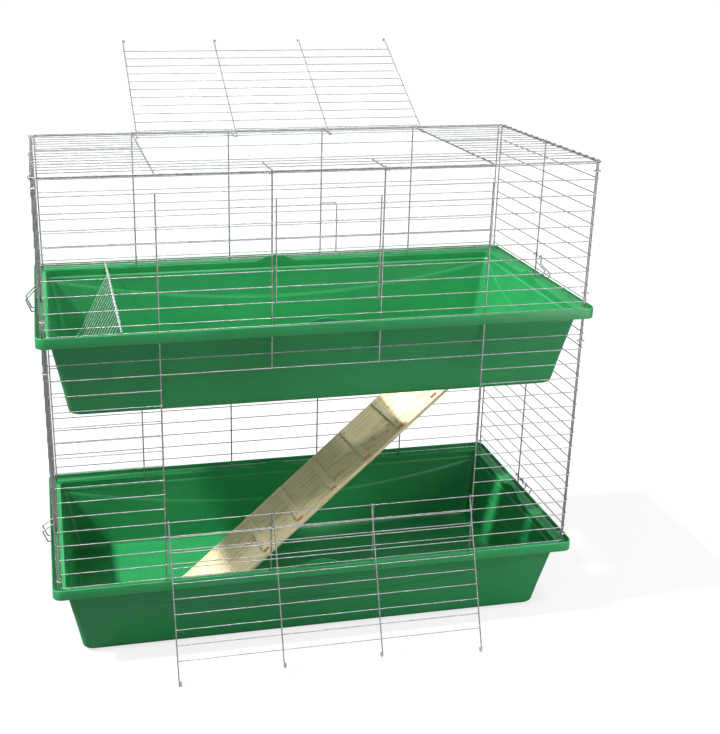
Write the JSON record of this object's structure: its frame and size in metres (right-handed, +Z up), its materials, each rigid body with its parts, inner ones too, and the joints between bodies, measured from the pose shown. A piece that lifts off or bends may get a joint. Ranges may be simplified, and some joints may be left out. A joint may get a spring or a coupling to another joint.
{
  "type": "rabbit cage",
  "caption": "Tiered wire rabbit cage with deep green plastic trays, hinged wire doors on top and front, a wire hay rack and a wooden ramp between its storeys.",
  "frame": {"origin": "on the floor, at the centre of the lower tray's footprint, on its middle foot", "axes": "+Z up, X along the cage's length, front with the small door towards -Y"},
  "size_m": [1.228, 0.9552, 1.2696],
  "materials": {
    "green_plastic": "moulded, half gloss",
    "galvanised_wire": "bright galvanised wire",
    "clip_wire": "bright galvanised wire",
    "pine_board": "planed, unfinished",
    "pine_cleat": "sawn, unfinished",
    "nail_steel": "zinc plated",
    "hook_steel": "zinc plated"
  },
  "bodies": {
    "cage": {"lower_tray": "green_plastic", "upper_tray": "green_plastic", "lower_front_panel": "galvanised_wire", "lower_back_panel": "galvanised_wire", "lower_left_panel": "galvanised_wire", "lower_right_panel": "galvanised_wire", "upper_front_panel": "galvanised_wire", "upper_back_panel": "galvanised_wire", "upper_left_panel": "galvanised_wire", "upper_right_panel": "galvanised_wire", "top_panel": "galvanised_wire", "top_panel_clips": "clip_wire", "upper_corner_clips": "clip_wire", "lower_corner_clips": "clip_wire"},
    "top_door": {"top_door": "galvanised_wire", "top_door_eyes": "galvanised_wire"},
    "lower_front_door": {"lower_front_door": "galvanised_wire", "lower_front_door_eyes": "galvanised_wire"},
    "upper_front_door": {"upper_front_door": "galvanised_wire", "upper_front_door_eyes": "galvanised_wire", "upper_door_latch_guides": "galvanised_wire"},
    "upper_door_latch": {"upper_door_latch": "galvanised_wire"},
    "upper_left_bail": {"upper_left_bail": "galvanised_wire"},
    "upper_right_bail": {"upper_right_bail": "galvanised_wire"},
    "lower_left_bail": {"lower_left_bail": "galvanised_wire"},
    "lower_right_bail": {"lower_right_bail": "galvanised_wire"},
    "hay_rack": {"hay_rack": "galvanised_wire"},
    "ramp": {"ramp_board": "pine_board", "ramp_cleats": "pine_cleat", "ramp_cleat_nails": "nail_steel", "ramp_hook": "hook_steel", "ramp_hook_screws": "nail_steel"}
  },
  "joints": [
    {"name": "top_door_hinge", "type": "hinge", "parent": "cage", "child": "top_door", "pos_m": [0, 0.18053, 1.0779], "axis": [1, 0, 0], "range_deg": [0, 151.7]},
    {"name": "lower_front_door_hinge", "type": "hinge", "parent": "cage", "child": "lower_front_door", "pos_m": [0, -0.2802, 0.3257], "axis": [-1, 0, 0], "range_deg": [0, 157.3]},
    {"name": "upper_front_door_hinge", "type": "hinge", "parent": "cage", "child": "upper_front_door", "pos_m": [0, -0.2802, 0.8059], "axis": [1, 0, 0], "range_deg": [0, 146]},
    {"name": "upper_door_latch_slide", "type": "slide", "parent": "upper_front_door", "child": "upper_door_latch", "axis": [0, 0, -1], "range_m": [0, 0.016]},
    {"name": "upper_left_bail_swing", "type": "hinge", "parent": "cage", "child": "upper_left_bail", "pos_m": [-0.5837, 0, 0.8059], "axis": [0, 1, 0], "range_deg": [0, 110]},
    {"name": "upper_right_bail_swing", "type": "hinge", "parent": "cage", "child": "upper_right_bail", "pos_m": [0.5837, 0, 0.8059], "axis": [0, -1, 0], "range_deg": [0, 110]},
    {"name": "lower_left_bail_swing", "type": "hinge", "parent": "cage", "child": "lower_left_bail", "pos_m": [-0.5837, 0, 0.2243], "axis": [0, 1, 0], "range_deg": [0, 110]},
    {"name": "lower_right_bail_swing", "type": "hinge", "parent": "cage", "child": "lower_right_bail", "pos_m": [0.5837, 0, 0.2243], "axis": [0, -1, 0], "range_deg": [0, 110]},
    {"name": "hay_rack_lift", "type": "slide", "parent": "cage", "child": "hay_rack", "axis": [0, 0, 1], "range_m": [0, 0.15]},
    {"name": "ramp_lift", "type": "hinge", "parent": "cage", "child": "ramp", "pos_m": [0.38525, -0.0213, 0.585], "axis": [0, 1, 0], "range_deg": [0, 32]}
  ]
}
